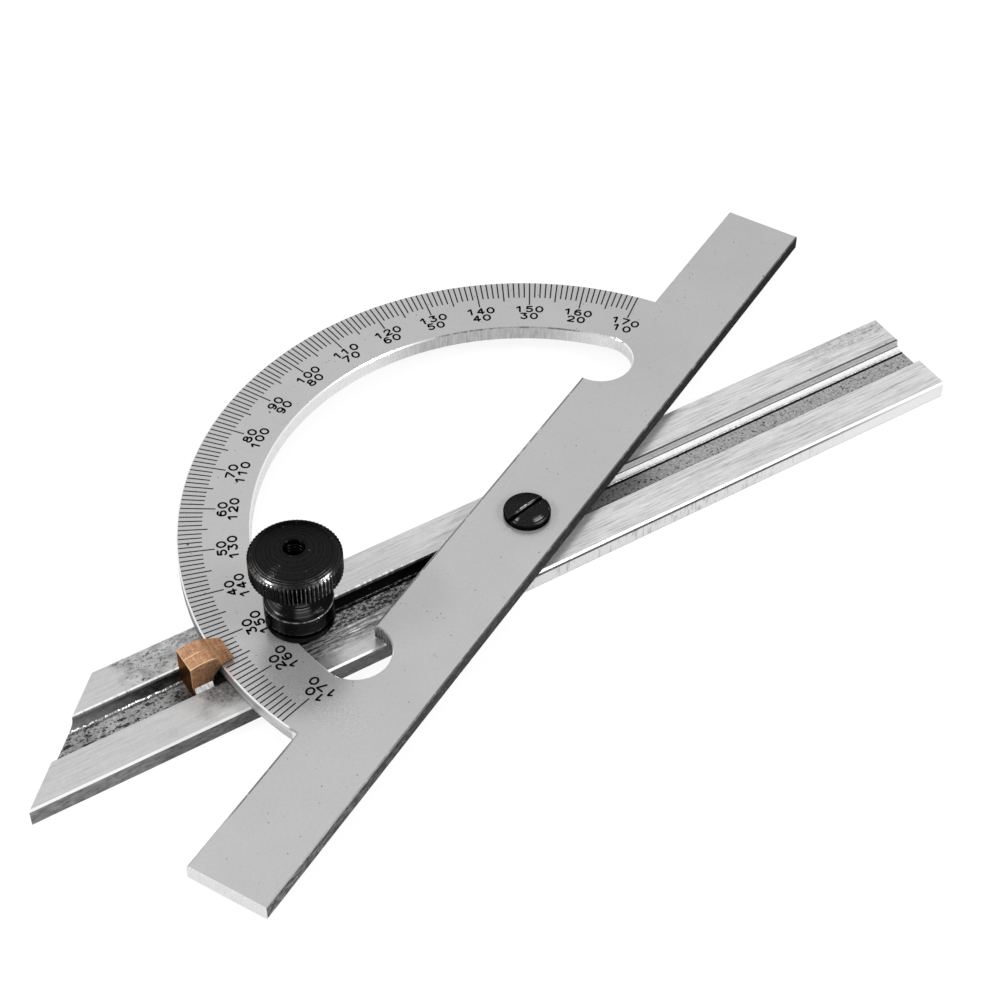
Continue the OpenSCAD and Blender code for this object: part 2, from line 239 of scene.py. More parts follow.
def plate_steel():
    """Satin ground plate: plain grey faces with a faint painted glare, cut walls with painted shade on the
    window's and the near pocket's, a long edge painted dark as shade and pale broken edges.
    """
    steel = Finish("plate_satin_steel", Specular_IOR_Level=0.0)
    along, across, _ = steel.turned(BAR_TURN)
    radius = steel.length(steel.x, steel.y)
    around = steel.angle(steel.x, steel.y)
    clouds = steel.noise(steel.mm, 0.11, 3.0)
    grain = steel.noise(steel.mm, 5.0, 3.0)
    speckle = steel.noise(steel.mm, 2.6, 3.0, 0.7)
    wisps = steel.noise(steel.stretched(0.55, 0.3, 1.0), 0.9, 4.0, 0.7)

    # The level faces: clouds, pits, fine scuffs, a worn ring round the screw and a stained corner
    wide_pits = steel.specks(steel.mm, 0.34, 0.07, 0.3)
    small_pits = steel.specks(steel.mm, 0.95, 0.1, 0.08) * wisps.over(0.42, 0.5)
    crowded_pits = steel.specks(steel.mm, 1.6, 0.16, 0.4) * wisps.over(0.53, 0.58)
    clean_end = along.over(-25.0, -38.0)
    pits = wide_pits.most(small_pits) * (1 - clean_end * 0.85)
    pits = pits.most(crowded_pits)
    scuffs = steel.noise(steel.stretched(0.9, 0.35, 1.0), 1.6, 4.0, 0.65).over(0.64, 0.78)
    glints = steel.noise(steel.mm, 1.1, 4.0, 0.7).over(0.66, 0.78)
    ring = radius.between(3.1, 3.75, 0.3) * (grain - 0.3)
    stain = (radius + wisps * 3.0).between(ARC_R - 5.0, ARC_R - 1.0, 1.2) * around.between(0.18, 0.5, 0.08)
    # The level faces are painted a little lighter towards the near end, as a faint painted glare.
    face = 0.507 - along * 0.00045 + clouds.swing(0.07) + speckle.swing(0.07)
    face = face - scuffs * 0.11 + glints * 0.06 - ring * 0.16 + stain * grain.swing(0.3)
    in_window = radius.over(WINDOW_R, WINDOW_R - 1)
    window_line = across.between(WINDOW_EDGE - 0.14, WINDOW_EDGE + 0.1, 0.03) * in_window
    back_line = across.between(BAR_BACK - 0.13, BAR_BACK + 0.1, 0.03) * along.between(-52.0, -41.0, 2.0)
    dark_line = back_line.most(window_line) * wisps.over(0.36, 0.46)
    face = face * (1 - pits * 0.8) * (1 - dark_line * 0.65)

    # The upright walls: cut and milled ones, those of the window and its pockets, the rim, the long edge
    wall = 1 - abs(steel.nz).over(0.3, 0.6)
    cut = steel.noise(steel.join(along * 5.0, across * 5.0, steel.z * 0.7), 1.0, 3.0, 0.6)
    milled = steel.noise(steel.join(around * 190.0, radius * 0.1, steel.z * 0.5), 1.0, 2.0)
    level_lines = steel.noise(steel.join(around * 4.0, 0.0, steel.z * 2.6), 1.0, 3.0, 0.6)
    side = 0.93 + cut.swing(0.2) + milled.swing(0.12)

    by_window = radius.over(WINDOW_R + 0.9, WINDOW_R + 0.3)
    inner = by_window * across.over(POCKET_EDGE - 0.2, POCKET_EDGE + 0.2)
    shaded = around.between(-2.32, -1.62, 0.16) * inner
    side = side.toward(0.54 + cut.swing(0.4) + milled.swing(0.4), shaded)
    low_line = steel.z.over(PLATE_LOW + 0.16, PLATE_LOW + 0.06) * inner
    side = side * (1 - low_line * 0.45)
    # The near pocket's wall is painted dark as shade, with chatter marks, and the far pocket's wall is
    # painted light, as light.
    pocket = by_window * across.over(POCKET_EDGE + 0.2, POCKET_EDGE - 0.2)
    lit_far_pocket = along.over(-5.0, 5.0)
    chatter = (milled.swing(1.2) + cut.swing(0.7)) * (1 - lit_far_pocket * 0.7)
    side = side.toward(0.22 + lit_far_pocket * 0.63 + chatter, pocket)

    rim = radius.over(ARC_R - 1.0, ARC_R - 0.6) * across.over(BAR_EDGE + 0.3, BAR_EDGE + 0.5)
    rim_tone = 0.24 + level_lines.swing(1.3) + around.over(0.02, 0.26) * 0.4
    side = side.toward(rim_tone, rim)

    # The long edge is painted dark as shade and as a reflection of the shaded floor, with streaks and crumbs,
    # and lighter towards the near end.
    long_edge = across.over(-BAR_EDGE + 0.2, -BAR_EDGE + 0.12) * along.over(0.08 - BAR_NEAR, 0.16 - BAR_NEAR)
    streaks = steel.noise(steel.join(along * 0.8, across, steel.z * 2.4), 1.0, 4.0, 0.65)
    crumbs = steel.specks(steel.mm, 2.4, 0.3, 0.25)
    shaded_long_edge = 0.04 + streaks.over(0.5, 0.8) * 0.08 + crumbs * (0.08 + along.over(0.0, -60.0) * 0.3)
    shaded_long_edge = shaded_long_edge + along.over(6.0, -16.0) * (0.035 + streaks.over(0.35, 0.7) * 0.06)
    shaded_long_edge = shaded_long_edge + along.over(-25.0, -60.0) * (0.02 + streaks.over(0.35, 0.65) * 0.24)
    side = side.toward(shaded_long_edge, long_edge)

    # The broken edges between them
    level = abs(steel.nz).over(0.95, 0.99)
    inner_top = inner * steel.z.over(PLATE_TOP - 0.2, PLATE_TOP - 0.12)
    nicks = steel.noise(steel.join(around * 9.0, 0.0, 0.0), 1.0, 4.0, 0.75)
    dark_nicks = nicks.over(0.47, 0.53) * around.between(-2.5, -1.75, 0.06)
    # Where the window's wall is shaded, its top chamfer is painted dull and dark as shade, with darker nicks.
    dull = inner_top * around.between(-2.4, -1.75, 0.14)
    broken = (0.93 + cut.swing(0.15)).toward(0.42 + nicks.swing(1.2), dull)
    broken = broken - inner_top * dark_nicks * 0.3
    # The long edge's broken edge is painted dark as shade too, lighter towards the near end.
    shaded_edge_break = 0.13 + streaks.over(0.5, 0.7) * 0.2 + along.over(-20.0, -55.0) * 0.35
    broken = broken.toward(shaded_edge_break, long_edge)
    back_edge = across.between(BAR_BACK - 0.1, WINDOW_EDGE + 0.2, 0.06) * abs(steel.nz).over(0.6, 0.65)
    broken = broken.toward(0.3 + streaks.over(0.5, 0.7) * 0.25, back_edge)
    near_end = along.over(0.2 - BAR_NEAR, 0.1 - BAR_NEAR)
    broken = broken.toward(0.8 + cut.swing(0.4), near_end)

    tone = broken.toward(face, level).toward(side, wall)
    rough = 0.26 + grain.swing(0.1) + wall * 0.15 - (1 - wall) * (1 - level) * 0.12
    steel.feed(Base_Color=steel.grey(tone), Roughness=rough, Metallic=0.5 - wall * long_edge * 0.5)
    steel.bump(grain * 0.25 + clouds * 2.0 - pits * 3.0 + (cut + milled) * wall * 4.0, 0.004)
    return steel.material


def arm_steel():
    """Steel brushed along the arm, with pitted places, bright bevels, a darker groove and painted shade."""
    steel = Finish("arm_brushed_steel", Specular_IOR_Level=0.0)
    x, y = steel.x, steel.y
    fine = steel.noise(steel.stretched(0.35, 6.5, 3.0), 1.0, 2.0, 0.6)
    broad = steel.noise(steel.stretched(0.035, 2.6, 1.0), 1.0, 2.0)
    grain = steel.noise(steel.mm, 3.0, 4.0, 0.7)
    patch = steel.noise(steel.mm, 0.35, 2.0)
    aft = x.over(28.0, -10.0)

    # The level lands: brush lines all along, and pitted places, a darker patch in front of the pointer and a
    # scored place beside the jaw painted dark as shade, by their ranges in x and y
    thin = steel.noise(steel.stretched(0.13, 5.8, 3.0), 1.0, 1.0)
    strokes = fine.over(0.47, 0.3) * 0.1 - fine.over(0.52, 0.72) * 0.22
    strokes = strokes + thin.swing(0.6) - thin.over(0.62, 0.66) * 0.12
    brushed = strokes * (0.35 + aft * 0.65) + broad.swing(0.04 + aft * 0.08)
    face = 0.575 + aft * 0.09 + brushed + grain.swing(0.16)
    rows = steel.noise(steel.stretched(0.5, 2.9, 0.0), 1.0, 2.0)
    torn = steel.noise(steel.stretched(2.1, 3.4, 0.0), 1.0, 3.0, 0.75)
    pits = torn.over(0.5, 0.6) * rows.over(0.38, 0.58)
    by_pointer = (x + patch * 5.0).between(41.5, 52.0, 1.0) * y.over(-2.2, -2.6)
    near_lip = (x + patch * 5.0).between(38.5, 46.5, 2.4) * (y + patch * 3.0).between(2.3, 6.4, 1.4)
    far_end = x.over(-40.0, -49.0) * y.over(-4.2, -4.9)
    # Beside the jaw the land is scored, and painted dark as shade that grows lighter towards the pivot; the
    # pitted places and this painted shade share one mask.
    scored_and_shaded_by_jaw = (x + patch * 5.0).between(17.0, 36.0, 1.2) * y.over(1.4, 2.0) * (y + patch * 2.0).over(6.6, 4.4)
    wear_and_painted_light = by_pointer.most(near_lip * 0.8).most(far_end * 0.6).most(scored_and_shaded_by_jaw)
    smudge = steel.noise(steel.mm, 0.8, 3.0).over(0.3, 0.75)
    scored = steel.noise(steel.stretched(0.3, 3.6, 0.0), 1.0, 4.0, 0.75)
    lone = steel.specks(steel.mm, 0.35, 0.06, 0.3)
    face = face * (1 - pits * wear_and_painted_light * 0.8) * (1 - wear_and_painted_light * smudge * 0.45) * (1 - lone * 0.55)
    face = face * (1 - scored_and_shaded_by_jaw * scored.over(0.46, 0.54) * 0.85) + scored_and_shaded_by_jaw * scored.over(0.42, 0.34) * 0.5
    face = face * (1 - near_lip * (0.55 + grain.swing(1.6)))
    # A painted shadow of the plate's arc on the near land, by the pointer's tip.
    arc_shadow = x.between(34.0, 38.2, 0.6) * y.over(2.1, 2.3)
    face = face * (1 - arc_shadow * 0.35) + scored_and_shaded_by_jaw * x.over(31.0, 25.0) * 0.14

    # The upright front face, painted light at the far end and grey at the near one as light and shade, and
    # painted darker between x 13 and 31 as shade
    front = y.over(ARM_HALF - 0.1, ARM_HALF - 0.02)
    mottle = steel.noise(steel.stretched(0.9, 1.0, 2.2), 1.0, 4.0, 0.65)
    hatch = steel.noise(steel.stretched(2.6, 0.2, 0.5), 1.0, 3.0, 0.7).over(0.52, 0.68)
    pale = x.over(15.0, 4.0)
    lit_side = 0.95 - x.over(-46.0, -20.0) * 0.1 - hatch * x.over(-50.0, -20.0) * 0.3
    lit_side = lit_side * (1 - steel.z.over(0.32, 0.24) * 0.55)
    shaded = x.between(13.0, 31.0, 2.0)
    side = (0.23 + mottle.swing(0.5)).toward(lit_side, pale)
    under_bevel = steel.z.over(ARM_TOP - 0.66, ARM_TOP - 0.58) * pale * x.over(-58.0, -30.0)
    side = side * (1 - under_bevel * 0.85) * (1 - shaded * 0.4)
    tone = face.toward(side, abs(steel.ny).over(0.85, 0.95) * front)

    # The groove: its floor, with holes, crumbs, a painted shadow of the bar, a painted shadow round the
    # pointer's foot and the burr's painted shadow
    depth = ARM_TOP - steel.z
    groove = abs(y).over(GROOVE_HALF + 0.02, GROOVE_HALF - 0.01) * depth.over(0.01, 0.03)
    torn_floor = steel.noise(steel.stretched(0.8, 1.7, 0.5), 1.1, 3.0, 0.7)
    fore = x.over(34.0, 36.0)
    pocket = x.between(4.0, 34.0, 1.5)
    dotted = steel.noise(steel.stretched(2.2, 3.0, 1.0), 1.0, 3.0, 0.75)
    holes = (torn_floor.over(0.56, 0.6) * fore).most(dotted.over(0.47, 0.53) * pocket)
    holes = holes.most(dotted.over(0.6, 0.64))
    bar_shadow = x.between(-18.0, -4.0, 4.0)
    holes = holes.most(steel.specks(steel.mm, 1.3, 0.3, 0.4) * x.between(-22.0, -9.0, 4.0))
    crumbs = steel.specks(steel.mm, 2.3, 0.34, 0.35).most(steel.specks(steel.mm, 1.1, 0.2, 0.5) * fore)
    floor = 0.37 + grain.swing(0.8) + broad.swing(0.15) - fore * 0.04 + patch.swing(0.4) * fore
    floor = floor * (1 - holes * 0.85) * (1 - crumbs * 0.75) * (1 - bar_shadow * 0.5)
    # A painted shadow round the pointer's foot.
    floor = floor * (1 - (x - y + patch * 4.0).between(35.0, 46.5, 1.8) * (0.6 + smudge * 0.35))
    burr_shade = y.between(BURR_AT + 0.08, BURR_AT + 0.4, 0.04)
    floor = floor * (1 - burr_shade * (0.97 - fore * 0.4))

    # Its far cove, painted black as shadow by the pointer and behind the nut, and the broken light and dark
    # line along its lip
    far_cove = 0.6 + broad.swing(0.15) + grain.swing(0.3) + depth.over(0.5, 0.1) * 0.3
    far_cove = far_cove + depth.over(0.8, 1.0) * 0.25 - depth.between(0.79, 0.87, 0.03) * 0.6
    # By the pointer and behind the nut the cove is painted black as shadow.
    fore_cove = 0.035 + x.over(46.0, 57.0) * 0.13 + mottle.swing(0.16)
    cove = far_cove.toward(fore_cove * x.over(39.0, 47.0), fore)
    cove = cove.toward(0.004 + torn_floor.over(0.62, 0.7) * 0.06, pocket)
    dashes = steel.noise(steel.stretched(1.4, 0.0, 0.0), 1.0, 3.0, 0.7)
    lip = far_cove.toward(dashes.over(0.52, 0.44) * 0.95, pocket)
    lip = lip.toward(0.95 - dashes.over(0.5, 0.6) * 0.7, fore)
    inside = cove.toward(lip, depth.over(0.16, 0.1) * y.over(0.0, -0.1))
    inside = inside.toward(floor, abs(y).over(1.42, 1.32))
    tone = tone.toward(inside, groove)
    lip_line = y.between(-GROOVE_HALF - 0.26, -GROOVE_HALF, 0.03) * (1 - groove)
    tone = tone * (1 - lip_line * dashes.over(0.3, 0.42) * x.over(0.0, -2.0) * 0.85)
    tone = tone.toward(0.97, lip_line * fore * dashes.over(0.62, 0.5))
    tone = tone.toward(0.97, lip_line * x.between(14.0, 28.0, 3.0) * dashes.over(0.5, 0.46))

    # The bevels, and how the metal shines
    bevel = abs(steel.ny).between(0.6, 0.8, 0.05) * (1 - groove) * abs(y).over(ARM_HALF - 0.3, ARM_HALF - 0.2)
    tone = tone.toward(0.96, bevel)
    rough = 0.24 + fine.swing(0.1) + groove * 0.25 + wear_and_painted_light * 0.3
    by_foot = x.between(37.0, 51.0, 2.5) * y.over(1.6, 2.2)
    shine = 0.55 - (groove * 0.35).most(by_foot * 0.5)
    steel.feed(Base_Color=steel.grey(tone), Roughness=rough, Metallic=shine)
    relief = (fine + broad * 0.5) * (1 - groove) - pits * wear_and_painted_light * 2.0 - (holes + crumbs) * groove * 3.0
    steel.bump(relief + grain * 0.4, 0.006)
    return steel.material


class TurnedBlack(Finish):
    """Black oxide on turned steel: rings round the piece's own axis, and a few bare specks."""

    def __init__(self, name, axis_x, rings_per_mm=4.0):
        super().__init__(name, Metallic=1.0, Specular_Tint=(0.4, 0.4, 0.4, 1.0))
        self.out = self.length(self.x - axis_x, self.y)
        self.around = self.angle(self.x - axis_x, self.y)
        profile = self.out + self.z
        wander = self.noise(self.mm, 0.5, 2.0)
        self.rings = (profile * (rings_per_mm * 2 * math.pi) + wander * 5.0).sin()
        self.coarse = self.noise(self.join(profile * 2.2, 0.0, 0.0), 1.0, 4.0, 0.75)
        self.grain = self.noise(self.mm, 7.0, 3.0)
        self.chips = self.noise(self.mm, 2.2, 3.0, 0.7)
        self.lines = self.noise(self.join(profile * 7.0, 0.0, 0.0), 1.0, 1.0)
        sparks = self.specks(self.mm, 1.9, 0.18, 0.22) * self.chips.over(0.35, 0.6)
        oxide = 0.014 + self.coarse.swing(0.03) + self.lines.swing(0.03) + self.grain.swing(0.025)
        self.tone = oxide.most(0.003) + sparks * 0.14


def nut_black():
    """The clamp nut: its rings, painted shade low down and in its bore, painted highlights on the two lit
    sides, and the bare edges of its drum.
    """
    black = TurnedBlack("nut_black_oxide", STUD_AT)
    out, around, z, chips = black.out, black.around, black.z, black.chips
    # From the knurl down the nut is painted darker as shade, save the drum's wall, which is painted a little
    # lighter; the bore is painted darker as shade, and the flanks between the knurl's teeth lighter, as
    # light.
    low = z.over(KNURL_LOW + 0.2, NECK_LOW)
    drum_side = z.over(NECK_LOW, NECK_LOW - 0.1)
    bore = out.over(1.3, 1.2)
    knurl = z.between(KNURL_LOW + 0.1, SHOULDER, 0.05)
    lit_flanks = out.over(NUT_R - 0.03, NUT_R - 0.06) * knurl * out.over(4.6, 4.8)
    tone = black.tone * (1 - low * 0.6 + drum_side * 0.9) * (1 - bore * 0.7)
    tone = tone * (1 + lit_flanks)

    # The two sides that catch the lamps
    right = around.between(1.0, 1.95, 0.2)
    left = around.between(-0.15, 0.8, 0.25)
    lit = left.most(around.between(1.4, 2.0, 0.2))

    # Painted highlights on the knurl's tips, mostly on the right, and on the collar, the crown's edge and the
    # neck on the two lit sides; bare places on the drum's edge and its foot
    tips = out.over(NUT_R - 0.03, NUT_R - 0.005) * knurl
    top = z.over(SHOULDER - 0.3, SHOULDER - 0.1)
    wear_and_painted_light = tips * (0.012 + right * chips.over(0.3, 0.6) * 0.22) * (1 + top * 1.5)
    collar = out.over(NUT_R - 0.34, NUT_R - 0.1) * z.between(SHOULDER - 0.3, SHOULDER + 0.16, 0.06)
    wear_and_painted_light = wear_and_painted_light + collar * chips.over(0.25, 0.6) * (0.01 + lit * 0.13)
    curl = around.between(-0.4, 0.35, 0.15).most(around.between(1.0, 1.5, 0.12))
    curl = curl * z.between(NECK_LOW + 0.25, NECK_LOW + 1.7, 0.25) * black.lines.over(0.45, 0.62)
    wear_and_painted_light = wear_and_painted_light + curl * 0.22
    arcs = out.over(NUT_R - 1.3, NUT_R - 0.7) * z.over(SHOULDER, SHOULDER + 0.1)
    arcs = arcs * black.lines.over(0.46, 0.6) * chips.over(0.3, 0.6)
    wear_and_painted_light = wear_and_painted_light + arcs * (0.01 + lit * 0.13)
    drum = out.over(DRUM_R - 0.14, DRUM_R - 0.06) * z.between(NECK_LOW - 0.1, NECK_LOW + 0.1, 0.03)
    wear_and_painted_light = wear_and_painted_light + drum * (0.03 + chips.over(0.35, 0.6) * 0.2)
    foot = out.over(DRUM_R - 0.2, DRUM_R - 0.1) * z.over(NUT_LOW + 0.2, NUT_LOW + 0.12)
    wear_and_painted_light = wear_and_painted_light + foot * chips.over(0.45, 0.6) * 0.16
    gap = out.over(DRUM_R - 0.04, DRUM_R - 0.1) * z.over(NUT_LOW + 0.1, NUT_LOW + 0.04)
    black.feed(Base_Color=black.grey((tone + wear_and_painted_light) * (1 - gap * 0.9)),
               Roughness=0.16 + black.coarse.swing(0.12) + black.grain.swing(0.1))

    # Rings and ripples, left off the knurl
    plain = 1 - out.over(NUT_R - 0.2, NUT_R - 0.1) * z.over(KNURL_LOW, KNURL_LOW + 0.1)
    neck = z.between(NECK_LOW + 0.1, KNURL_LOW - 0.1, 0.1)
    relief = (black.rings * (0.5 + neck) + black.coarse * (2.5 + neck * 2.5)) * plain
    black.bump(relief + black.grain * 0.6 + chips * 0.8, 0.008)
    return black.material


def screw_black():
    """The pivot screw: fine rings on its dome, painted highlights in streaky patches on two sides of its
    edge, and a painted highlight along the far wall of its slot.
    """
    black = TurnedBlack("screw_black_oxide", 0.0, 5.0)
    along, across, _ = black.turned(SLOT_TURN)
    in_slot = black.z.over(PLATE_TOP + 0.65, PLATE_TOP + 0.8)
    # The slot's far wall is painted bright and broken, as a highlight.
    slot_wall = across.between(-SLOT_HALF - 0.06, -SLOT_HALF + 0.02, 0.015) * in_slot
    bright = slot_wall * black.chips.over(0.36, 0.52) * abs(along).over(1.9, 0.5)
    # Patches on two sides of the dome's edge, broken into streaks, painted bright as highlights.
    patch = black.around.between(1.4, 1.95, 0.12).most(black.around.between(0.32, 0.5, 0.06))
    broken_streaks = black.lines.over(0.42, 0.62) * black.chips.over(0.3, 0.5)
    edge = black.out.between(HEAD_R - 0.99, HEAD_R - 0.24, 0.15) * patch * broken_streaks
    rim = black.out.over(HEAD_R - 0.24, HEAD_R - 0.09)
    tone = black.tone * 1.3 * (1 - rim * 0.6) + bright * 0.85 + edge * 0.35
    black.feed(Base_Color=black.grey(tone),
               Roughness=0.2 + black.coarse.swing(0.2),
               Metallic=1 - slot_wall * 0.85)
    black.bump(black.rings * 0.5 + black.coarse * 3.0 + black.grain * 0.8, 0.006)
    return black.material


def plain_black(name, axis_x):
    """Black oxide on the jaw and the stud, darkest in the parting line over the jaw."""
    black = TurnedBlack(name, axis_x)
    parting = black.z.over(NUT_LOW - 0.6, NUT_LOW - 0.4)
    black.feed(Base_Color=black.grey((black.tone + 0.003) * (1 - parting * 0.95)),
               Roughness=0.32 + black.grain.swing(0.2))
    black.bump(black.rings * 0.4 + black.grain, 0.006)
    return black.material


def pointer_copper():
    """Filed copper: file marks across it, sides painted lighter and the end painted darker as light and
    shade, bright edges with a painted highlight on the near long edge, and a cut line for reading.
    """
    copper = Finish("filed_copper", Metallic=1.0, Specular_Tint=(0.7, 0.42, 0.28, 1.0))
    across = copper.noise(copper.stretched(7.0, 0.4, 2.5), 1.0, 4.0, 0.7)
    patina = copper.noise(copper.mm, 0.9, 3.0, 0.6)
    grain = copper.noise(copper.mm, 4.5, 3.0)
    mesh = copper.noise(copper.stretched(1.2, 6.0, 2.5), 1.0, 3.0, 0.7)
    curve = copper.length(copper.x - CROWN_AT, copper.z - (CROWN_TOP - CROWN_R))
    crown = curve.over(CROWN_R - 0.12, CROWN_R - 0.06)
    side = abs(copper.ny).over(0.7, 0.9)
    end = copper.nx.over(0.7, 0.9)
    beak = copper.x.over(POINTER_MIDDLE - 0.3, POINTER_MIDDLE - 1.6)
    tone = 1.0 + across.swing(1.5) + grain.swing(1.1) + mesh.swing(0.9)
    tone = tone - patina.over(0.45, 0.8) * 0.2 - beak * 0.18
    # The sides are painted lighter, as light, and the end face darker, as shade.
    tone = tone * (1 + side * 0.3) * (1 - end * 0.62)

    # A painted highlight along the near long edge.
    long_edge = crown * copper.y.over(POINTER_HALF - 0.13, POINTER_HALF - 0.05)
    end_edge = copper.x.over(POINTER_END - 0.12, POINTER_END - 0.05) * side.most(crown * 0.5)
    end_edge = end_edge * (0.5 + patina.over(0.35, 0.55) * 0.5)
    line_run = copper.x.over(POINTER_MIDDLE - 0.9, POINTER_MIDDLE + 0.6)
    line = abs(copper.y).over(0.09, 0.045) * line_run * crown
    edges = long_edge.most(end_edge).most(line * 0.75)
    warm = copper.blend(patina.over(0.35, 0.7), (0.50, 0.285, 0.165, 1.0), (0.44, 0.235, 0.135, 1.0))
    shade = copper.node("VectorMath", {"operation": "SCALE"}, {0: warm, "Scale": tone})
    colour = copper.blend(edges, shade, (0.95, 0.68, 0.43, 1.0))
    copper.feed(Base_Color=colour, Roughness=0.36 + grain.swing(0.15) - edges * 0.1)
    copper.bump(across * 2.0 + grain - line * 3.0, 0.008)
    return copper.material


def bright_solder():
    """Solder: almost white, wavy and a little dull."""
    solder = Finish("bright_solder", Metallic=0.6)
    waves = solder.noise(solder.stretched(3.5, 1.5, 1.5), 1.0, 3.0)
    solder.feed(Base_Color=solder.grey(waves), Roughness=0.35 + waves.swing(0.2))
    solder.bump(waves, 0.05)
    return solder.material


def inner_steel():
    """Turned and milled steel of the pieces inside the pivot."""
    steel = Finish("inner_turned_steel", Metallic=1.0)
    lines = steel.noise(steel.stretched(0.5, 6.0, 6.0), 1.0, 3.0)
    steel.feed(Base_Color=steel.grey(0.42 + lines.swing(0.15)), Roughness=0.4 + lines.swing(0.1))
    steel.bump(lines, 0.006)
    return steel.material


def engraving_black(name, tone):
    """Black filling of the engraved lines and numbers."""
    ink = Finish(name, Metallic=0.0, Specular_IOR_Level=0.0)
    grain = ink.noise(ink.mm, 4.0, 3.0)
    ink.feed(Base_Color=ink.grey(tone + grain.swing(tone * 0.8)), Roughness=0.6 + grain.swing(0.2))
    return ink.material


def burr_steel():
    """The bright torn burr in the corner of the groove, dark where the plate and the clamp shade it."""
    steel = Finish("burr_steel", Metallic=1.0)
    torn = steel.noise(steel.stretched(2.5, 2.5, 2.5), 1.0, 3.0, 0.7)
    shaded = steel.x.between(2.0, 33.0, 2.0)
    tone = (0.97 - torn.over(0.55, 0.7) * 0.5) * (1 - shaded * 0.97)
    steel.feed(Base_Color=steel.grey(tone), Roughness=0.3 + torn.swing(0.2))
    steel.bump(torn, 0.03)
    return steel.material


# Shapes

def piece(name, verts, faces, material, body, slot):
    """Makes a mesh piece from points in millimetres and puts it on a body."""
    mesh = bpy.data.meshes.new(name)
    mesh.from_pydata((np.asarray(verts) * MM).tolist(), [], [list(map(int, face)) for face in faces])
    mesh.materials.append(material)
    mesh.update()
    obj = bpy.data.objects.new(name, mesh)
    bpy.context.scene.collection.objects.link(obj)
    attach(obj, body)
    return obj


def ribbon(path, half, low, high, closed):
    """A flat stroke along a plane path, from one height to another.

    Each point of the path gives four corners: left and right of the path by the half width,
    along the mean of the two neighbouring directions turned by 90 degrees, at both heights.
    An open stroke gets a round end: extra points run past the end by half * sin(t) while the
    width shrinks to half * cos(t). Returns the points and the four-cornered faces.
    """
    path = np.asarray(path, float)
    widths = np.full(len(path), half)
    if not closed:
        turn = np.radians([85, 60, 30])
        first, last = path[0] - path[1], path[-1] - path[-2]
        first, last = first / np.hypot(*first), last / np.hypot(*last)
        head = path[0] + first * (half * np.sin(turn))[:, None]
        tail = path[-1] + last * (half * np.sin(turn[::-1]))[:, None]
        path = np.concatenate([head, path, tail])
        widths = np.concatenate([half * np.cos(turn), widths, half * np.cos(turn[::-1])])
    before, after = np.roll(path, 1, 0), np.roll(path, -1, 0)
    if not closed:
        before[0], after[-1] = path[0], path[-1]
    step = after - before
    step /= np.hypot(step[:, 0], step[:, 1])[:, None]
    side = np.stack([-step[:, 1], step[:, 0]], 1) * widths[:, None]
    left, right = path + side, path - side
    count = len(path)
    flat = np.concatenate([left, right, left, right])
    heights = np.repeat([high, high, low, low], count)
    verts = np.column_stack([flat, heights])
    here = np.arange(count if closed else count - 1)
    there = (here + 1) % count
    top_left, top_right, low_left, low_right = 0, count, 2 * count, 3 * count
    faces = [np.stack([top_right + here, top_right + there, top_left + there, top_left + here], 1),
             np.stack([low_left + here, low_left + there, low_right + there, low_right + here], 1),
             np.stack([top_left + here, top_left + there, low_left + there, low_left + here], 1),
             np.stack([low_right + here, low_right + there, top_right + there, top_right + here], 1)]
    if not closed:
        end = count - 1
        faces.append(np.array([[top_left, low_left, low_right, top_right],
                               [top_right + end, low_right + end, low_left + end, top_left + end]]))
    return verts, np.concatenate(faces)


def cornered(path, near):
    """Adds two points to each long step of a path, that distance from its ends.

    A stroke is narrow at a sharp corner, and the added points keep the loss beside the corner.
    """
    points = [path[0]]
    for first, last in zip(path[:-1], path[1:]):
        step = last - first
        length = np.hypot(*step)
        if length > 3 * near:
            points += [first + step * near / length, last - step * near / length]
        points.append(last)
    return np.array(points)


def arc(cx, cy, rx, ry, start, end, points=18):
    """Points of an ellipse arc: centre plus radii times cosine and sine of angles in degrees."""
    t = np.radians(np.linspace(start, end, points))
    return np.column_stack([cx + rx * np.cos(t), cy + ry * np.sin(t)])


def ellipse(cx, cy, rx, ry, points=28):
    """Points of a whole ellipse, the last one left out because the stroke closes on the first."""
    return arc(cx, cy, rx, ry, 0, 360, points + 1)[:-1]


# Centre lines of the digits in a box from (-0.4, 0) to (0.4, 1): (closed, points)
THREE_BOWL = arc(-0.02, 0.31, 0.38, 0.31, 88, -150, 16)
DIGITS = {
    "0": [(True, ellipse(0, 0.5, 0.41, 0.5))],
    "1": [(False, [(-0.36, 0.74), (-0.02, 1.0), (0.0, 0.97), (0.0, 0.6), (0.0, 0.0)])],
    "2": [(False, np.concatenate([arc(0, 0.7, 0.36, 0.3, 165, -35, 14), [(-0.4, 0.0), (0.38, 0.0)]]))],
    "3": [(False, np.concatenate([[(-0.33, 1.0), (0.32, 1.0), (-0.02, 0.62)], THREE_BOWL]))],
    "4": [(False, [(0.16, 0.0), (0.16, 1.0), (-0.42, 0.26), (0.4, 0.26)])],
    "5": [(False, np.concatenate([[(0.32, 1.0), (-0.24, 1.0), (-0.31, 0.56)],
                                  arc(-0.02, 0.32, 0.38, 0.32, 130, -145, 18)]))],
    "6": [(True, ellipse(0, 0.31, 0.37, 0.31, 24)), (False, arc(0.03, 0.5, 0.4, 0.5, 190, 60, 16))],
    "7": [(False, [(-0.38, 1.0), (0.4, 1.0), (-0.16, 0.0)])],
    "8": [(True, ellipse(0, 0.28, 0.4, 0.28, 24)), (True, ellipse(0, 0.78, 0.32, 0.22, 20))],
    "9": [(True, ellipse(0, 0.69, 0.37, 0.31, 24)), (False, arc(-0.03, 0.5, 0.4, 0.5, 10, -120, 16))],
}

